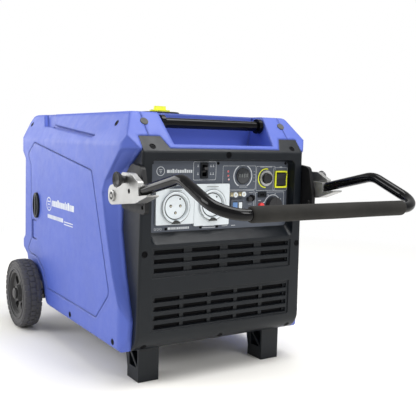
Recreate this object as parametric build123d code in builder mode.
from build123d import *
import math
import os

# Portable inverter generator with a folding tow handle, two wheels and two front feet.
# Millimetres. +X is the machine's right, +Y runs from the control panel to the rear, +Z is up.
# The origin is on the floor, under the middle of the whole machine.
# "Depth" is the distance behind the front face, measured along +Y.

os.makedirs("parts", exist_ok=True)

# ---- driving dimensions: casing ----
front_y = -187.0
half_width = 258.0
roof_half_width = 218.0
body_bottom = 80.0
shoulder_z = 548.0
roof_z = 620.5
fold_z = 533.0
slope_depth = 75.0
rear_depth = 735.0
wall = 3.5
seam_x = 195.0
corner_x = 222.0
corner_depth = 40.0
skin_slip = 0.05          # the three outlines that make the casing never share a plane

# ---- front shell ----
shell_top_half = 223.0
shell_bottom_half = 232.0
shell_top = 540.0
shell_depth = 110.0
ear_top = 566.0
ear_inner = 167.0
ear_outer = 221.0
panel_half = 196.0
panel_low = 352.0
panel_high = 512.0
recess_half = 200.0
recess_low = 327.0
recess_high = 516.0
recess_depth = 24.0
plate = 3.0
vent_half = 196.0
vent_depth = 3.0
groove_half = 190.0
groove_depth = 9.0
slot_pitch = 20.6
screw_hole_r = 6.4

# ---- carry bar ----
bar_depth = 78.0
bar_z = 597.0
bar_r = 12.0
bar_half = 148.0
pocket_back = 118.0
pocket_floor = 543.6

# ---- tow handle ----
pivot_depth = 60.0
pivot_z = 434.0
lever_in = 237.0
lever_out = 265.0
tube_x = 251.0
tube_r = 11.0
tube_root_z = 445.0
grip_r = 15.5
grip_half = 192.0
grip_depth = -348.0
grip_z = 434.0
bend_depth = -210.0
bend_z = 489.0
lock_depth = -3.0
lock_z = 473.5
running_gap = 0.05

# ---- wheels and feet ----
wheel_r = 100.0
rim_r = 70.0
wheel_in = 266.0
wheel_out = 316.0
axle_depth = 619.0
axle_r = 10.0
foot_in = 150.4
foot_out = 203.2
foot_depth = 43.8

# ---- service doors ----
door_outline = [(612, 541), (194, 483), (88, 205), (163, 132), (505, 132), (540, 180),
                (600, 208), (655, 208), (676, 224), (644, 257), (646, 474), (672, 505)]
door_gap = 2.0
door_in = 254.9
latch_depth = 592.0
latch_z = 360.0

# ---- fuel cap and crank line ----
cap_depth = 338.0
cap_r = 53.0
crank_z = 215.0
shaft_r = 15.0

written = []


def save(part, name):
    """Labels one piece and writes it to parts/."""
    part.label = name
    export_step(part, f"parts/{name}.step")
    written.append(name)


def front_plane(depth):
    """Plane facing forwards at this depth: local x is X and local y is Z."""
    return Plane(origin=(0, front_y + depth, 0), x_dir=(1, 0, 0), z_dir=(0, -1, 0))


def side_plane(x):
    """Plane facing +X: local x is the depth and local y is Z."""
    return Plane(origin=(x, front_y, 0), x_dir=(0, 1, 0), z_dir=(1, 0, 0))


def floor_plane(z):
    """Plane facing up: local x is X and local y is the depth."""
    return Plane(origin=(0, front_y, z), x_dir=(1, 0, 0), z_dir=(0, 0, 1))


def mirrored(part):
    """The same piece on the other side of the machine."""
    return mirror(part, about=Plane.YZ)


def prism(plane, points, amount):
    """A straight prism over a polygon."""
    with BuildPart() as block:
        with BuildSketch(plane):
            with BuildLine():
                Polyline(*points, close=True)
            make_face()
        extrude(amount=amount)
    return block.part


def disc(plane, x, y, radius, amount):
    """A plain cylinder standing on a plane."""
    with BuildPart() as round_block:
        with BuildSketch(plane):
            with Locations((x, y)):
                Circle(radius)
        extrude(amount=amount)
    return round_block.part


def ring(plane, x, y, outer, inner, amount):
    """A plain tube standing on a plane."""
    with BuildPart() as tube:
        with BuildSketch(plane):
            with Locations((x, y)):
                Circle(outer)
                Circle(inner, mode=Mode.SUBTRACT)
        extrude(amount=amount)
    return tube.part


def rounded_box(plane, x, y, width, height, amount, radius):
    """A block with rounded upright corners standing on a plane."""
    with BuildPart() as block:
        with BuildSketch(plane):
            with Locations((x, y)):
                RectangleRounded(width, height, radius)
        extrude(amount=amount)
    return block.part


# ---------------------------------------------------------------- casing surfaces

def side_profile_prism(inset):
    """The casing's outline seen from the side, right across the machine."""
    outline = [(0, body_bottom), (0, fold_z), (slope_depth, roof_z), (rear_depth, roof_z),
               (722, 514), (695, 491), (702, 259), (737, 230), (684, 205), (660, 145),
               (555, 145), (507, body_bottom)]
    radii = [50, 9, 14, 24, 10, 8, 14, 10, 8, 10, 20, 14]
    with BuildPart() as block:
        with BuildSketch(side_plane(-300)):
            with BuildLine():
                FilletPolyline(*outline, radius=radii, close=True)
            make_face()
            if inset > 0:
                offset(amount=-inset)
        extrude(amount=600)
    return block.part


def body_envelope(inset):
    """The whole closed casing, with every face moved in by `inset`."""
    low = body_bottom - skin_slip
    high = roof_z + skin_slip
    side = half_width + skin_slip
    across = [(-half_width, low), (half_width, low), (half_width, shoulder_z), (roof_half_width, high),
              (-roof_half_width, high), (-half_width, shoulder_z)]
    plan = [(-corner_x, -skin_slip), (corner_x, -skin_slip), (side, corner_depth), (side, 745),
            (-side, 745), (-side, corner_depth)]
    with BuildPart() as envelope:
        add(side_profile_prism(inset))
        with BuildSketch(front_plane(800)):
            with BuildLine():
                FilletPolyline(*across, radius=[14, 14, 26, 14, 14, 26], close=True)
            make_face()
            if inset > 0:
                offset(amount=-inset)
        extrude(amount=900, mode=Mode.INTERSECT)
        with BuildSketch(floor_plane(0)):
            with BuildLine():
                FilletPolyline(*plan, radius=[10, 10, 22, 30, 30, 22], close=True)
            make_face()
            if inset > 0:
                offset(amount=-inset)
        extrude(amount=700, mode=Mode.INTERSECT)
    return envelope.part


solid_body = body_envelope(0)
inner_body = body_envelope(wall)
hull = solid_body - inner_body

wall_tilt = math.atan((shell_bottom_half - shell_top_half) / (shell_top - body_bottom))


def wall_plane():
    """The front shell's right side wall, which leans in towards the top."""
    return Plane(origin=(shell_top_half, front_y, shell_top), x_dir=(0, 1, 0),
                 z_dir=(math.cos(wall_tilt), 0, math.sin(wall_tilt)))


def shell_trapezoid(grow):
    """The front shell's outline seen from the front."""
    foot_half = shell_bottom_half + 20 * math.tan(wall_tilt) + grow
    return [(-foot_half, body_bottom - 20), (foot_half, body_bottom - 20),
            (shell_top_half + grow, shell_top + grow), (-shell_top_half - grow, shell_top + grow)]


def ear_outlines(grow):
    """The two lugs of the front shell that climb the slope, seen from the front."""
    ear = [(ear_inner - 19 - grow, shell_top - 8), (ear_inner - grow, ear_top + grow),
           (ear_outer + grow, ear_top + grow), (ear_outer + grow, shell_top - 8)]
    return [ear, [(-x, z) for x, z in ear]]


def bevel_cut(shift):
    """What is cut from the right side shell in front of its long swept bevel."""
    inner = [(-30, 538), (2, 538), (50, 502), (87, 440), (85, 355), (58, 258), (20, 153),
             (23, 105), (30, 78), (30, 50), (-30, 50)]
    outer = [(-30, 541), (36, 541), (119, 464), (135, 436), (111, 351), (75, 253), (22, 151),
             (24, 116), (39, 84), (39, 50), (-30, 50)]
    with BuildPart() as cut:
        with BuildSketch(wall_plane().offset(-0.5)):
            with BuildLine():
                Polyline(*[(d + shift, z - shell_top) for d, z in inner], close=True)
            make_face()
        with BuildSketch(side_plane(half_width + 0.01)):
            with BuildLine():
                Polyline(*[(d + shift, z) for d, z in outer], close=True)
            make_face()
        loft(ruled=True)
    return cut.part


lean = math.atan2(half_width - roof_half_width, roof_z - shoulder_z)


def shoulder_plane(depth, z):
    """Plane on the leaning upper side of the right shell, facing out."""
    x = half_width - (z - shoulder_z) * math.tan(lean)
    return Plane(origin=(x, front_y + depth, z), x_dir=(0, 1, 0),
                 z_dir=(math.cos(lean), 0, math.sin(lean)))


slope_angle = math.atan2(slope_depth, roof_z - fold_z)


def slope_plane(x, z):
    """Plane on the front slope, facing forwards and up."""
    depth = (z - fold_z) * math.tan(slope_angle)
    return Plane(origin=(x, front_y + depth, z), x_dir=(1, 0, 0),
                 z_dir=(0, -math.cos(slope_angle), math.sin(slope_angle)))


lip_angle = math.radians(45)


def lip_plane(x):
    """Plane on the rounded lower lip of the front shell, facing forwards and down."""
    lip = 50 * (1 - math.cos(lip_angle))
    return Plane(origin=(x, front_y + lip, body_bottom + lip), x_dir=(1, 0, 0),
                 z_dir=(0, -math.cos(lip_angle), -math.sin(lip_angle)))


front_screw_planes = [Plane(origin=(x, front_y, z), x_dir=(1, 0, 0), z_dir=(0, -1, 0))
                      for x, z in [(-215, 308.4), (215, 308.4), (0, 527)]]
front_screw_planes += [slope_plane(-195, 544), slope_plane(195, 544)]
front_screw_planes += [lip_plane(-206.8), lip_plane(0), lip_plane(206.8)]

side_screw_planes = [Plane(origin=(half_width, front_y + depth, z), x_dir=(0, 1, 0), z_dir=(1, 0, 0))
                     for depth, z in [(332, 99), (68, 99)]]
side_screw_planes += [shoulder_plane(112, 593), shoulder_plane(706, 592)]


def screw_recess(plane):
    """A shallow counterbore for one casing screw."""
    with BuildPart() as recess:
        with BuildSketch(plane.offset(-2.4)):
            Circle(screw_hole_r)
        extrude(amount=8)
    return recess.part


def screw(plane):
    """A pan-head screw in its counterbore, with a cross slot."""
    with BuildPart() as fastener:
        with BuildSketch(plane.offset(-2.4)):
            Circle(screw_hole_r - 0.6)
        extrude(amount=1.9, taper=12)
        with BuildSketch(plane.offset(-1.3)):
            Rectangle(5.5, 1.1)
            Rectangle(1.1, 5.5)
        extrude(amount=2, mode=Mode.SUBTRACT)
    return fastener.part


# ---------------------------------------------------------------- front shell

def shell_blank(inset):
    """The front shell as a closed block, open to the rear when it is the inner one."""
    back = shell_depth + (5 if inset > 0 else 0)
    with BuildPart() as blank:
        add(side_profile_prism(inset))
        with BuildSketch(front_plane(back)):
            with BuildLine():
                Polyline(*shell_trapezoid(-inset), close=True)
            make_face()
        extrude(amount=back + 20, mode=Mode.INTERSECT)
        if inset == 0:
            upright = blank.edges().filter_by(
                lambda e: abs(e.center().Y - front_y) < 0.5 and abs(e.center().X) > 220)
            fillet(upright, radius=6)
    return blank.part


def panel_recess(grow, front):
    """The space in front of the control panel, with its sloping sill."""
    sill = panel_low - 2
    with BuildPart() as space:
        with BuildSketch(front_plane(front)):
            with Locations((0, (recess_low + recess_high) / 2)):
                RectangleRounded(2 * (recess_half + grow), recess_high - recess_low + 2 * grow, 13)
        with BuildSketch(front_plane(recess_depth + grow)):
            with Locations((0, (sill + recess_high - 2) / 2)):
                RectangleRounded(2 * (recess_half - 1 + grow), recess_high - 2 - sill + 2 * grow, 12)
        loft()
    return space.part


def vent(rows, columns, low, high, middle_row, slot_width, pitch):
    """One vent: (the tub behind its recess, the recess with its grooves and slots)."""
    middle = (low + high) / 2
    tub = rounded_box(front_plane(groove_depth + plate), 0, middle, 2 * vent_half + 6, high - low + 6,
                      groove_depth + plate, 3)
    with BuildPart() as space:
        with BuildSketch(front_plane(vent_depth)):
            with Locations((0, middle)):
                RectangleRounded(2 * vent_half, high - low, 2)
        extrude(amount=vent_depth + 5)
        with BuildSketch(front_plane(groove_depth)):
            with Locations((0, middle_row)):
                with GridLocations(1, slot_pitch, 1, rows):
                    Rectangle(2 * groove_half, 11)
        extrude(amount=groove_depth)
        with BuildSketch(front_plane(groove_depth + plate + 2)):
            with Locations((0, middle_row)):
                with GridLocations(pitch, slot_pitch, columns, rows):
                    Rectangle(slot_width, 9)
        extrude(amount=plate + 4)
    return tub, space.part


upper_tub, upper_space = vent(3, 4, 252, 320, 289, 77, 99)
lower_tub, lower_space = vent(4, 5, 130, 215, 170.6, 65, 75.5)

with BuildPart() as front_shell:
    add(shell_blank(0))
    add(shell_blank(wall), mode=Mode.SUBTRACT)
    for ear_outline in ear_outlines(0):
        add(prism(front_plane(70), ear_outline, 90) & hull)
    add(panel_recess(plate, 0))
    add(upper_tub)
    add(lower_tub)
    add(panel_recess(0, -1), mode=Mode.SUBTRACT)
    with BuildSketch(front_plane(recess_depth + plate + 1)):
        with Locations((0, (panel_low + panel_high) / 2)):
            RectangleRounded(2 * panel_half, panel_high - panel_low, 10)
    extrude(amount=plate + 5, mode=Mode.SUBTRACT)
    add(upper_space, mode=Mode.SUBTRACT)
    add(lower_space, mode=Mode.SUBTRACT)
    for screw_plane in front_screw_planes:
        add(screw_recess(screw_plane), mode=Mode.SUBTRACT)
save(front_shell.part, "front_shell")


# ---------------------------------------------------------------- side shells

def side_pockets(grow):
    """The notch and the long tapering ledge on the right shell's shoulder."""
    with BuildPart() as pockets:
        with BuildSketch(shoulder_plane(0, shoulder_z).offset(-12 - grow)):
            with BuildLine():
                Polyline((497 - grow, 41 - grow), (582 + grow, 43.5 - grow), (674 + grow, 104), (582 - grow, 104),
                         close=True)
            make_face()
        extrude(amount=40)
        with BuildSketch(shoulder_plane(0, shoulder_z).offset(-8 - grow)):
            with BuildLine():
                Polyline((505, 39 - grow), (505, 48.5 + grow), (195 - grow, 20 + grow), (210 - grow, 13.4 - grow),
                         close=True)
            make_face()
        extrude(amount=30)
    return pockets.part


def side_blank(inset):
    """The right side of the casing as a block, cut back to its swept front bevel."""
    inboard = seam_x - (30 if inset > 0 else 0)
    with BuildPart() as blank:
        add(solid_body if inset == 0 else inner_body)
        with BuildSketch(front_plane(800)):
            with Locations(((inboard + 320) / 2, 350)):
                Rectangle(320 - inboard, 740)
        extrude(amount=900, mode=Mode.INTERSECT)
        add(prism(front_plane(shell_depth + 2 + inset), shell_trapezoid(inset), 200), mode=Mode.SUBTRACT)
        for outline in ear_outlines(inset):
            add(prism(front_plane(75), outline, 120), mode=Mode.SUBTRACT)
        add(bevel_cut(inset), mode=Mode.SUBTRACT)
        add(side_pockets(inset), mode=Mode.SUBTRACT)
    return blank.part


def door_face(plane, grow):
    """Sketch of the service door's outline, grown by `grow`."""
    with BuildSketch(plane) as face:
        with BuildLine():
            FilletPolyline(*door_outline, radius=[14, 12, 20, 12, 12, 12, 12, 8, 6, 6, 10, 8], close=True)
        make_face()
        offset(amount=grow)
    return face.sketch


with BuildPart() as right_side_shell:
    add(side_blank(0))
    add(side_blank(wall), mode=Mode.SUBTRACT)
    extrude(door_face(side_plane(250.5), 6), amount=half_width - wall - 250.5)
    extrude(door_face(side_plane(249), -9), amount=20, mode=Mode.SUBTRACT)
    extrude(door_face(side_plane(half_width - wall), 0), amount=20, mode=Mode.SUBTRACT)
    for screw_plane in side_screw_planes:
        add(screw_recess(screw_plane), mode=Mode.SUBTRACT)
save(right_side_shell.part, "right_side_shell")
save(mirrored(right_side_shell.part), "left_side_shell")


with BuildPart() as right_service_door:
    extrude(door_face(side_plane(door_in), -door_gap), amount=half_width - door_in)
    with BuildSketch(side_plane(door_in - 1)):
        with Locations((latch_depth, latch_z)):
            Circle(9 + running_gap)
    extrude(amount=10, mode=Mode.SUBTRACT)
    with BuildSketch(side_plane(half_width - 2.2)):
        with Locations((617, 287)):
            RectangleRounded(40, 58, 4)
    extrude(amount=5, mode=Mode.SUBTRACT)
save(right_service_door.part, "right_service_door")
save(mirrored(right_service_door.part), "left_service_door")


with BuildPart() as right_door_latch:
    with BuildSketch(side_plane(252.2)):
        with Locations((latch_depth, latch_z)):
            Circle(9)
    extrude(amount=6)
    with BuildSketch(side_plane(half_width + 0.4)):
        with Locations((latch_depth, latch_z)):
            Ellipse(23, 37)
    extrude(amount=6.6)
    fillet(right_door_latch.faces().sort_by(Axis.X)[-1].edges(), radius=2.5)
    with BuildSketch(side_plane(half_width + 3.4)):
        with Locations((latch_depth, latch_z)):
            Ellipse(17, 31)
            SlotOverall(66, 9, rotation=90, mode=Mode.SUBTRACT)
    extrude(amount=6, mode=Mode.SUBTRACT)
save(right_door_latch.part, "right_door_latch")
save(mirrored(right_door_latch.part), "left_door_latch")


# ---------------------------------------------------------------- top cover, rear shell, base tray

def bar_pocket(grow):
    """The hand space around the carry bar."""
    with BuildPart() as pocket:
        with BuildSketch(front_plane(pocket_back + grow)):
            with BuildLine():
                Polyline((-139 - grow, 549 - grow), (139 + grow, 549 - grow), (152 + grow, 640),
                         (-152 - grow, 640), close=True)
            make_face()
        extrude(amount=pocket_back + 30)
        with BuildSketch(front_plane(pocket_back + grow)):
            with BuildLine():
                Polyline((-137 - grow, pocket_floor - grow), (137 + grow, pocket_floor - grow),
                         (139 + grow, 560), (-139 - grow, 560), close=True)
            make_face()
        extrude(amount=pocket_back - 24 + 2 * grow)
    return pocket.part


cover_zone = [(-50, shell_top), (640, shell_top), (640, 590), (800, 590), (800, 700), (-50, 700)]
rear_zone = [(600, 149), (600, 590), (800, 590), (800, 149)]
tray_zone = [(shell_depth, 60), (shell_depth, 120), (400, 120), (560, 149), (690, 149), (690, 60)]
pocket_zone = [(0, shell_top), (0, 700), (150, 700), (150, shell_top)]


def hull_zone(zone):
    """The part of the casing wall between the two side shells, inside a side-view zone."""
    return prism(side_plane(-seam_x), zone, 2 * seam_x) & hull


with BuildPart() as top_cover:
    add(hull_zone(cover_zone))
    for ear_outline in ear_outlines(0):
        add(prism(front_plane(70), ear_outline, 90), mode=Mode.SUBTRACT)
    add(bar_pocket(plate) & solid_body & prism(side_plane(-seam_x), pocket_zone, 2 * seam_x))
    add(bar_pocket(0), mode=Mode.SUBTRACT)
    with BuildSketch(side_plane(-bar_half)):
        with Locations((bar_depth, bar_z)):
            Circle(bar_r)
    extrude(amount=2 * bar_half, mode=Mode.SUBTRACT)
    with BuildSketch(floor_plane(roof_z - 20)):
        with Locations((0, cap_depth)):
            Circle(38)
    extrude(amount=40, mode=Mode.SUBTRACT)
save(top_cover.part, "top_cover")


with BuildPart() as rear_shell:
    add(hull_zone(rear_zone))
    with BuildSketch(front_plane(760)):
        with Locations((0, 385)):
            RectangleRounded(270, 190, 12)
    extrude(amount=100, mode=Mode.SUBTRACT)
save(rear_shell.part, "rear_shell")

with BuildPart() as rear_grille:
    with BuildSketch(front_plane(702)):
        with Locations((0, 385)):
            RectangleRounded(269.6, 189.6, 11.8)
    extrude(amount=10)
    with BuildSketch(front_plane(704)):
        with Locations((0, 375)):
            with GridLocations(118, 17, 2, 8):
                SlotOverall(104, 7)
    extrude(amount=20, mode=Mode.SUBTRACT)
    with BuildSketch(front_plane(704)):
        with Locations((60, 456)):
            Circle(19)
    extrude(amount=20, mode=Mode.SUBTRACT)
save(rear_grille.part, "rear_grille")

with BuildPart() as base_tray:
    add(hull_zone(tray_zone))
    with BuildSketch(floor_plane(body_bottom)):
        with Locations((0, 310)):
            with GridLocations(110, 1, 4, 1):
                Rectangle(8, 380)
    extrude(amount=14)
save(base_tray.part, "base_tray")


# ---------------------------------------------------------------- carry bar and slope plugs

with BuildPart() as carry_bar:
    with BuildSketch(side_plane(-bar_half)):
        with Locations((bar_depth, bar_z)):
            Circle(bar_r)
            Circle(bar_r - 2, mode=Mode.SUBTRACT)
    extrude(amount=2 * bar_half)
save(carry_bar.part, "carry_bar")

with BuildPart() as carry_bar_flanges:
    for x in (-142.5, 132.5):
        add(ring(side_plane(x), bar_depth, bar_z, 18, bar_r, 10))
save(carry_bar_flanges.part, "carry_bar_flanges")


def slope_plug(x):
    """A round blanking plug in the slope beside the carry bar."""
    plane = slope_plane(x, 598)
    with BuildPart() as plug:
        with BuildSketch(plane):
            Circle(9.5)
        extrude(amount=2)
        fillet(plug.edges().filter_by(GeomType.CIRCLE).sort_by(Axis.Z)[-1], radius=0.8)
    return plug.part


with BuildPart() as slope_plugs:
    for x in (-193, 193):
        add(slope_plug(x))
save(slope_plugs.part, "slope_plugs")

with BuildPart() as case_screws:
    for screw_plane in front_screw_planes:
        add(screw(screw_plane))
    for screw_plane in side_screw_planes:
        fastener = screw(screw_plane)
        add(fastener)
        add(mirrored(fastener))
save(case_screws.part, "case_screws")


# ---------------------------------------------------------------- control panel and what is on it

panel_front = recess_depth
face = front_plane(panel_front)
left_outlet_at = (-130, 408)
right_outlet_at = (-31, 411)
breaker_at = (-52, 490)
display_at = (59, 477)
throttle_at = (128.5, 471)
switch_at = (174.5, 468)
voltage_at = (152, 404)
start_at = (115, 404)
reset_at = (78, 421)
dc_at = (42, 408)
terminals_at = [(32, 433), (56, 434)]
usb_at = (118, 431)

with BuildPart() as control_panel:
    with BuildSketch(front_plane(panel_front + plate)):
        with Locations((0, (panel_low + panel_high) / 2)):
            RectangleRounded(2 * panel_half, panel_high - panel_low, 10)
    extrude(amount=plate)
    with BuildSketch(front_plane(panel_front + plate + 1)):
        with Locations(throttle_at, voltage_at):
            Circle(4 + running_gap)
        with Locations(start_at):
            Circle(7 + 0.3)
        with Locations(reset_at):
            Circle(6 + 0.3)
        with Locations(switch_at):
            Rectangle(30.6, 34.6)
        with Locations(breaker_at):
            Rectangle(19, 29)
    extrude(amount=plate + 4, mode=Mode.SUBTRACT)
save(control_panel.part, "control_panel")


def outlet(centre, width, height, lift):
    """A three-pin power outlet: plate, round socket well and rim."""
    x, z = centre
    radius = 31
    with BuildPart() as socket:
        with BuildSketch(face):
            with Locations((x, z + lift)):
                RectangleRounded(width, height, 3)
        extrude(amount=6)
        with BuildSketch(front_plane(panel_front - 6)):
            with Locations((x, z)):
                Circle(radius + 4)
        extrude(amount=4)
        with BuildSketch(front_plane(panel_front - 6)):
            with Locations((x, z)):
                Circle(radius)
        extrude(amount=6, mode=Mode.SUBTRACT)
        with BuildSketch(front_plane(panel_front - 1)):
            with Locations((x - 11, z + 3), (x + 11, z + 3), (x, z - 12)):
                SlotOverall(7, 4, rotation=90)
        extrude(amount=12, mode=Mode.SUBTRACT)
    return socket.part


save(outlet(left_outlet_at, 99, 81, 1), "left_outlet")
save(outlet(right_outlet_at, 97, 97, 0), "right_outlet")

with BuildPart() as breaker_housing:
    with BuildSketch(face):
        with Locations(breaker_at):
            RectangleRounded(20, 36, 2)
            Rectangle(12, 26, mode=Mode.SUBTRACT)
    extrude(amount=3)
    with BuildSketch(front_plane(panel_front + 18)):
        with Locations(breaker_at):
            Rectangle(18.6, 28.6)
            Rectangle(12, 26, mode=Mode.SUBTRACT)
    extrude(amount=18)
save(breaker_housing.part, "breaker_housing")

toggle_pivot_depth = panel_front + 4
with BuildPart() as breaker_toggle:
    with BuildSketch(side_plane(breaker_at[0] - 5)):
        with Locations((toggle_pivot_depth, breaker_at[1])):
            Circle(5)
        with Locations((toggle_pivot_depth - 8, breaker_at[1] + 3)):
            Rectangle(14, 6, rotation=-20)
    extrude(amount=10)
save(breaker_toggle.part, "breaker_toggle")

with BuildPart() as display:
    with BuildSketch(face):
        with Locations(display_at):
            Circle(19)
    extrude(amount=2.5)
    fillet(display.edges().filter_by(GeomType.CIRCLE).sort_by(Axis.Y)[0], radius=1)
save(display.part, "display")

with BuildPart() as indicator_lights:
    with BuildSketch(face):
        with Locations((15, 488), (15.5, 478), (17.5, 469)):
            Circle(2.2)
    extrude(amount=1.6)
save(indicator_lights.part, "indicator_lights")

save(ring(face, throttle_at[0], throttle_at[1], 19, 13.5, 4), "throttle_ring")


def knob(centre, radius, length, flutes):
    """A turning knob with a grip of shallow flutes, on a shaft through the panel."""
    x, z = centre
    with BuildPart() as turner:
        with BuildSketch(front_plane(panel_front - 0.5)):
            with Locations((x, z)):
                Circle(radius)
        extrude(amount=length, taper=3)
        with BuildSketch(front_plane(panel_front - 3)):
            with Locations((x, z)):
                with PolarLocations(radius + 0.8, flutes):
                    Circle(1.8)
        extrude(amount=length, mode=Mode.SUBTRACT)
        with BuildSketch(front_plane(panel_front + plate + 6)):
            with Locations((x, z)):
                Circle(4)
        extrude(amount=plate + 7)
        with BuildSketch(front_plane(panel_front - length)):
            with Locations((x, z + radius * 0.55)):
                Rectangle(2.2, radius * 0.5)
        extrude(amount=2, mode=Mode.SUBTRACT)
    return turner.part


save(knob(throttle_at, 12.5, 11, 16), "throttle_knob")
save(knob(voltage_at, 21, 14, 24), "voltage_knob")

with BuildPart() as switch_frame:
    with BuildSketch(face):
        with Locations(switch_at):
            RectangleRounded(37, 42, 2.5)
            Rectangle(30.6, 34.6, mode=Mode.SUBTRACT)
    extrude(amount=3.5)
save(switch_frame.part, "switch_frame")

with BuildPart() as run_switch:
    with BuildSketch(side_plane(switch_at[0] - 14.5)):
        with BuildLine():
            FilletPolyline((panel_front - 7, switch_at[1] + 15.5), (panel_front - 3.2, switch_at[1]),
                           (panel_front - 4.5, switch_at[1] - 15.5), (panel_front + 6, switch_at[1] - 12),
                           (panel_front + 6, switch_at[1] + 12), radius=[1, 8, 1, 1, 1], close=True)
        make_face()
    extrude(amount=29)
save(run_switch.part, "run_switch")


def push_button(centre, radius, proud):
    """A button head on a stem, with a collar behind the panel that keeps it in."""
    x, z = centre
    with BuildPart() as button:
        with BuildSketch(front_plane(panel_front + 8)):
            with Locations((x, z)):
                Circle(radius)
        extrude(amount=8 + proud)
        fillet(button.faces().sort_by(Axis.Y)[0].edges(), radius=1)
        with BuildSketch(front_plane(panel_front + 9)):
            with Locations((x, z)):
                Circle(radius + 2)
        extrude(amount=2)
    return button.part


save(push_button(start_at, 7, 8), "start_button")
save(push_button(reset_at, 6, 9), "reset_button")

with BuildPart() as usb_port:
    with BuildSketch(face):
        with Locations(usb_at):
            RectangleRounded(25, 14, 2)
            with GridLocations(11, 1, 2, 1):
                Rectangle(8, 3.6, mode=Mode.SUBTRACT)
    extrude(amount=2.5)
save(usb_port.part, "usb_port")

with BuildPart() as dc_outlet:
    with BuildSketch(face):
        with Locations(dc_at):
            RectangleRounded(38, 26, 2)
    extrude(amount=7)
    with BuildSketch(front_plane(panel_front - 7)):
        with Locations(dc_at):
            with GridLocations(17, 1, 2, 1):
                Rectangle(13, 18)
    extrude(amount=-3, mode=Mode.SUBTRACT)
save(dc_outlet.part, "dc_outlet")

with BuildPart() as earth_terminals:
    for x, z in terminals_at:
        with BuildSketch(face):
            with Locations((x, z)):
                Rectangle(21, 10)
        extrude(amount=2)
        with BuildSketch(front_plane(panel_front - 2)):
            with Locations((x, z)):
                RegularPolygon(5, 6)
        extrude(amount=4)
        with BuildSketch(front_plane(panel_front - 6)):
            with Locations((x, z)):
                Circle(2.5)
        extrude(amount=5)
save(earth_terminals.part, "earth_terminals")


# ---------------------------------------------------------------- feet, axle and brackets

def foot(x_low):
    """A moulded foot that narrows towards the floor, with a braced pocket on each side."""
    outline = [(foot_depth, 0), (foot_depth, body_bottom + 6), (foot_depth + 72, body_bottom + 6),
               (foot_depth + 72, body_bottom), (foot_depth + 58, 24), (foot_depth + 58, 0)]
    width = foot_out - foot_in
    with BuildPart() as block:
        add(prism(side_plane(x_low), outline, width))
        for x in (x_low - 1, x_low + width - 15):
            add(prism(side_plane(x), [(foot_depth + 6, 74), (foot_depth + 6, 36),
                                      (foot_depth + 44, 74)], 16), mode=Mode.SUBTRACT)
            add(prism(side_plane(x), [(foot_depth + 10, 32), (foot_depth + 50, 68),
                                      (foot_depth + 46, 32)], 16), mode=Mode.SUBTRACT)
        add(solid_body, mode=Mode.SUBTRACT)
    return block.part


with BuildPart() as front_feet:
    add(foot(foot_in))
    add(foot(-foot_out))
save(front_feet.part, "front_feet")

save(disc(side_plane(-wheel_out - 2), axle_depth, wheel_r, axle_r, 2 * (wheel_out + 2)), "axle")

with BuildPart() as axle_brackets:
    for x in (228, -236):
        with BuildSketch(side_plane(x)):
            with BuildLine():
                FilletPolyline((axle_depth - 30, 144), (axle_depth + 26, 144),
                               (axle_depth + 22, wheel_r - 22), (axle_depth - 22, wheel_r - 22),
                               radius=[1, 1, 20, 20], close=True)
            make_face()
            with Locations((axle_depth, wheel_r)):
                Circle(axle_r, mode=Mode.SUBTRACT)
        extrude(amount=8)
    add(solid_body, mode=Mode.SUBTRACT)
save(axle_brackets.part, "axle_brackets")


# ---------------------------------------------------------------- wheels

def wheel_hub():
    """The right wheel's moulded centre: rim, spokes and hub."""
    with BuildPart() as hub:
        with BuildSketch(Plane(origin=(0, front_y + axle_depth, wheel_r), x_dir=(1, 0, 0), z_dir=(0, -1, 0))):
            with BuildLine():
                Polyline((wheel_in - 2, axle_r + running_gap), (wheel_in - 2, 22), (wheel_in + 20, 24),
                         (wheel_in + 20, 58), (wheel_in + 2, 62), (wheel_in + 2, rim_r),
                         (wheel_out - 3, rim_r), (wheel_out - 3, 61), (wheel_out - 12, 57),
                         (wheel_out - 14, 26), (wheel_out - 4, 22), (wheel_out - 4, axle_r + running_gap),
                         close=True)
            make_face()
        revolve(axis=Axis((0, front_y + axle_depth, wheel_r), (1, 0, 0)))
        with BuildSketch(side_plane(wheel_in - 5)):
            with Locations((axle_depth, wheel_r)):
                with PolarLocations(41, 6):
                    RectangleRounded(24, 22, 5)
        extrude(amount=60, mode=Mode.SUBTRACT)
    return hub.part


def tyre():
    """The right wheel's solid tyre."""
    with BuildPart() as rubber:
        with BuildSketch(Plane(origin=(0, front_y + axle_depth, wheel_r), x_dir=(1, 0, 0), z_dir=(0, -1, 0))):
            with BuildLine():
                FilletPolyline((wheel_in, rim_r), (wheel_in, wheel_r - 6), (wheel_in + 8, wheel_r),
                               (wheel_out - 8, wheel_r), (wheel_out, wheel_r - 6), (wheel_out, rim_r),
                               radius=[0, 5, 5, 5, 5, 0], close=True)
            make_face()
        revolve(axis=Axis((0, front_y + axle_depth, wheel_r), (1, 0, 0)))
    return rubber.part


right_hub_part = wheel_hub()
right_tyre_part = tyre()
save(right_hub_part, "right_wheel_hub")
save(mirrored(right_hub_part), "left_wheel_hub")
save(right_tyre_part, "right_tyre")
save(mirrored(right_tyre_part), "left_tyre")


# ---------------------------------------------------------------- tow handle

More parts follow.
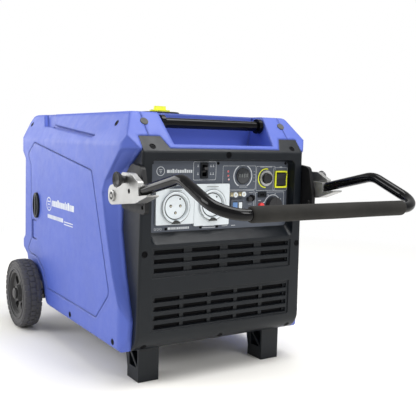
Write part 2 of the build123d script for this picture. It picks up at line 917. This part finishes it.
def handle_bracket():
    """The right pivot plate on the front shell's wall, with the pivot pin and its head."""
    with BuildPart() as bracket:
        with BuildSketch(side_plane(shell_top_half + 3.2)):
            with BuildLine():
                FilletPolyline((-38, 400), (-38, 430), (-20, 500), (28, 506), (74, 468), (76, 404),
                               radius=[10, 10, 14, 18, 14, 10], close=True)
            make_face()
            with Locations((-26, 415)):
                Circle(4.5, mode=Mode.SUBTRACT)
        extrude(amount=lever_in - 1 - shell_top_half - 3.2)
        with BuildSketch(side_plane(lever_in - 1)):
            with Locations((pivot_depth, pivot_z)):
                Circle(7)
        extrude(amount=lever_out - lever_in + 3)
        with BuildSketch(side_plane(lever_out + 0.5)):
            with Locations((pivot_depth, pivot_z)):
                Circle(12)
        extrude(amount=3)
        fillet(bracket.faces().sort_by(Axis.X)[-1].edges(), radius=1.2)
    return bracket.part


right_bracket = handle_bracket()
with BuildPart() as handle_brackets:
    add(right_bracket)
    add(mirrored(right_bracket))
save(handle_brackets.part, "handle_brackets")

tube_rise = math.atan2(bend_z - tube_root_z, -22 - bend_depth)


def tube_plane(depth, x):
    """Plane across the handle tube's straight leg at this depth, facing forwards."""
    z = tube_root_z + (-22 - depth) * math.tan(tube_rise)
    return Plane(origin=(x, front_y + depth, z), x_dir=(1, 0, 0),
                 z_dir=(0, -math.cos(tube_rise), math.sin(tube_rise)))


def handle_lever():
    """The right cast lever: pivot boss, tube socket and the hump that carries the lock."""
    outline = [(85, 411), (85, 454), (37, 463), (15, 488), (-25, 488), (-46, 478), (-60, 472),
               (-64, 443.5), (-100, 448.5), (-100, 444.5), (-50, 427)]
    radii = [19, 19, 14, 13, 13, 6, 3, 1.5, 1, 1, 14]
    with BuildPart() as lever:
        with BuildSketch(side_plane(lever_in)):
            with BuildLine():
                FilletPolyline(*outline, radius=radii, close=True)
            make_face()
        extrude(amount=lever_out - lever_in)
        caps = lever.faces().filter_by(Axis.X)
        fillet(caps.edges().filter_by(lambda e: e.length > 6), radius=0.8)
        with BuildSketch(side_plane(lever_in - 1)):
            with Locations((pivot_depth, pivot_z)):
                Circle(7 + running_gap)
            with Locations((lock_depth, lock_z)):
                Circle(5 + running_gap)
        extrude(amount=40, mode=Mode.SUBTRACT)
        with BuildSketch(tube_plane(-22, tube_x)):
            Circle(tube_r)
        extrude(amount=90, mode=Mode.SUBTRACT)
        with BuildSketch(side_plane(lever_in - 1)):
            with Locations((-10, 495)):
                Rectangle(110, 60)
        extrude(amount=16, mode=Mode.SUBTRACT)
        with BuildSketch(side_plane(lever_out - 2.5)):
            with Locations((-20, 450)):
                Circle(5.5)
        extrude(amount=5, mode=Mode.SUBTRACT)
    return lever.part


right_lever = handle_lever()
with BuildPart() as handle_levers:
    add(right_lever)
    add(mirrored(right_lever))
save(handle_levers.part, "handle_levers")

with BuildPart() as handle_tube:
    with BuildLine():
        FilletPolyline((-tube_x, front_y - 22, tube_root_z), (-tube_x, front_y + bend_depth, bend_z),
                       (-tube_x, front_y + grip_depth, grip_z), (tube_x, front_y + grip_depth, grip_z),
                       (tube_x, front_y + bend_depth, bend_z), (tube_x, front_y - 22, tube_root_z),
                       radius=[60, 56, 56, 60])
    with BuildSketch(tube_plane(-22, -tube_x)):
        Circle(tube_r)
        Circle(tube_r - 1.8, mode=Mode.SUBTRACT)
    sweep()
save(handle_tube.part, "handle_tube")

save(ring(side_plane(-grip_half), grip_depth, grip_z, grip_r, tube_r, 2 * grip_half), "foam_grip")

with BuildPart() as lever_screws:
    for x, reach in ((lever_out - 2.5, 2), (-lever_out + 2.5, -2)):
        with BuildSketch(side_plane(x)):
            with Locations((-20, 450)):
                Circle(5.4)
                RegularPolygon(2.4, 6, mode=Mode.SUBTRACT)
        extrude(amount=reach)
save(lever_screws.part, "lever_screws")


def lock_knob():
    """The right spring plunger: pin through the lever and a flared pull knob outside."""
    with BuildPart() as plunger:
        with BuildSketch(Plane(origin=(0, front_y + lock_depth, lock_z), x_dir=(1, 0, 0), z_dir=(0, -1, 0))):
            with BuildLine():
                Polyline((lever_in + 0.2, 0), (lever_in + 0.2, 4), (lever_in + 1.2, 5), (lever_out + 0.8, 5),
                         (lever_out + 0.8, 8), (lever_out + 7, 8), (lever_out + 15, 14.5),
                         (lever_out + 21, 17), (lever_out + 23, 16), (lever_out + 19, 11),
                         (lever_out + 17, 0), close=True)
            make_face()
        revolve(axis=Axis((0, front_y + lock_depth, lock_z), (1, 0, 0)))
    return plunger.part


right_lock = lock_knob()
save(right_lock, "right_lock_knob")
save(mirrored(right_lock), "left_lock_knob")


# ---------------------------------------------------------------- fuel cap

with BuildPart() as filler_neck:
    with BuildSketch(floor_plane(592)):
        with Locations((0, cap_depth)):
            Circle(34)
            Circle(31, mode=Mode.SUBTRACT)
    extrude(amount=30)
save(filler_neck.part, "filler_neck")

with BuildPart() as fuel_cap:
    with BuildSketch(floor_plane(roof_z + 0.6)):
        with Locations((0, cap_depth)):
            Circle(cap_r)
    extrude(amount=11)
    fillet(fuel_cap.edges().filter_by(GeomType.CIRCLE).sort_by(Axis.Z)[-1], radius=3)
    with BuildSketch(floor_plane(roof_z - 1)):
        with Locations((0, cap_depth)):
            with PolarLocations(cap_r + 2, 16):
                Circle(4.5)
            Circle(36)
    extrude(amount=4.6, mode=Mode.SUBTRACT)
    with BuildSketch(floor_plane(roof_z - 4)):
        with Locations((0, cap_depth)):
            Circle(30)
            Circle(27, mode=Mode.SUBTRACT)
    extrude(amount=9)
    with BuildSketch(floor_plane(roof_z + 7)):
        with Locations((0, cap_depth)):
            Circle(6 + running_gap)
    extrude(amount=20, mode=Mode.SUBTRACT)
save(fuel_cap.part, "fuel_cap")

with BuildPart() as cap_vent_lever:
    with BuildSketch(floor_plane(roof_z + 8)):
        with Locations((0, cap_depth)):
            Circle(6)
    extrude(amount=6)
    with BuildSketch(floor_plane(roof_z + 12)):
        with Locations((0, cap_depth)):
            SlotOverall(60, 20)
            Circle(15)
    extrude(amount=5)
    with BuildSketch(floor_plane(roof_z + 16)):
        with Locations((0, cap_depth)):
            SlotOverall(38, 12)
    extrude(amount=11.5, taper=8)
save(cap_vent_lever.part, "cap_vent_lever")


# ---------------------------------------------------------------- inside: engine, alternator, fuel, electrics

with BuildPart() as engine_block:
    with BuildSketch(front_plane(532)):
        with Locations((0, crank_z)):
            RectangleRounded(230, 170, 30)
    extrude(amount=132)
    with BuildSketch(front_plane(538)):
        with Locations((0, crank_z)):
            Circle(70)
    extrude(amount=6)
    with BuildSketch(front_plane(600)):
        with Locations((0, crank_z)):
            Circle(shaft_r + running_gap)
    extrude(amount=300, mode=Mode.SUBTRACT)
save(engine_block.part, "engine_block")

with BuildPart() as cylinder_head:
    with BuildSketch(floor_plane(300)):
        with Locations((0, 480)):
            RectangleRounded(104, 104, 16)
    extrude(amount=110)
    for step in range(8):
        with BuildSketch(floor_plane(306 + 11 * step)):
            with Locations((0, 480)):
                RectangleRounded(150, 140, 18)
        extrude(amount=4)
    with BuildSketch(floor_plane(410)):
        with Locations((0, 480)):
            RectangleRounded(120, 112, 22)
    extrude(amount=38)
save(cylinder_head.part, "cylinder_head")

with BuildPart() as engine_mounts:
    with BuildSketch(floor_plane(body_bottom + 14)):
        with Locations((-55, 422), (55, 422), (-55, 484), (55, 484)):
            Circle(18)
    extrude(amount=130 - body_bottom - 14)
save(engine_mounts.part, "engine_mounts")

save(ring(front_plane(400), 0, crank_z, 100, 72, 90), "stator")

with BuildPart() as crankshaft:
    with BuildSketch(front_plane(550)):
        with Locations((0, crank_z)):
            Circle(shaft_r)
    extrude(amount=305)
    with BuildSketch(front_plane(396)):
        with Locations((0, crank_z)):
            Circle(71)
    extrude(amount=82)
    with BuildSketch(front_plane(278)):
        with Locations((0, crank_z)):
            Circle(88)
    extrude(amount=5)
    with BuildSketch(front_plane(273)):
        with Locations((0, crank_z)):
            with PolarLocations(60, 12):
                Rectangle(46, 4)
    extrude(amount=20)
save(crankshaft.part, "crankshaft")



def tank_form(inset):
    """The tank's outer form, with every face moved in by `inset`."""
    with BuildPart() as form:
        with BuildSketch(floor_plane(500 + inset)):
            with Locations((0, 300)):
                RectangleRounded(330 - 2 * inset, 320 - 2 * inset, 40 - inset)
        extrude(amount=92 - 2 * inset)
        fillet(form.faces().sort_by(Axis.Z)[0].edges(), radius=20 - inset)
    return form.part


with BuildPart() as fuel_tank:
    add(tank_form(0))
    add(tank_form(3), mode=Mode.SUBTRACT)
    with BuildSketch(floor_plane(580)):
        with Locations((0, cap_depth)):
            Circle(31)
    extrude(amount=20, mode=Mode.SUBTRACT)
save(fuel_tank.part, "fuel_tank")

with BuildPart() as muffler:
    with BuildSketch(side_plane(-115)):
        with Locations((626, 380)):
            SlotOverall(130, 80, rotation=90)
    extrude(amount=230)
    with BuildSketch(front_plane(588)):
        with Locations((0, 375)):
            Circle(15)
    extrude(amount=36)
    with BuildSketch(front_plane(700)):
        with Locations((60, 456)):
            Circle(17)
    extrude(amount=60)
save(muffler.part, "muffler")

save(rounded_box(side_plane(-215), 480, 400, 130, 90, 70, 14), "air_filter_box")

with BuildPart() as carburettor:
    with BuildSketch(side_plane(-145)):
        with Locations((480, 375)):
            Circle(20)
    extrude(amount=70)
    with BuildSketch(side_plane(-125)):
        with Locations((480, 370)):
            RectangleRounded(56, 70, 8)
    extrude(amount=32)
save(carburettor.part, "carburettor")

save(rounded_box(floor_plane(body_bottom + 14), 150, 190, 80, 130, 90, 4), "battery")

with BuildPart() as inverter_module:
    with BuildSketch(front_plane(190)):
        with Locations((-90, 240)):
            RectangleRounded(210, 190, 6)
    extrude(amount=50)
    with BuildSketch(front_plane(225)):
        with Locations((-90, 240)):
            with GridLocations(16, 1, 12, 1):
                Rectangle(4, 180)
    extrude(amount=35)
save(inverter_module.part, "inverter_module")

print(len(written), "parts written")
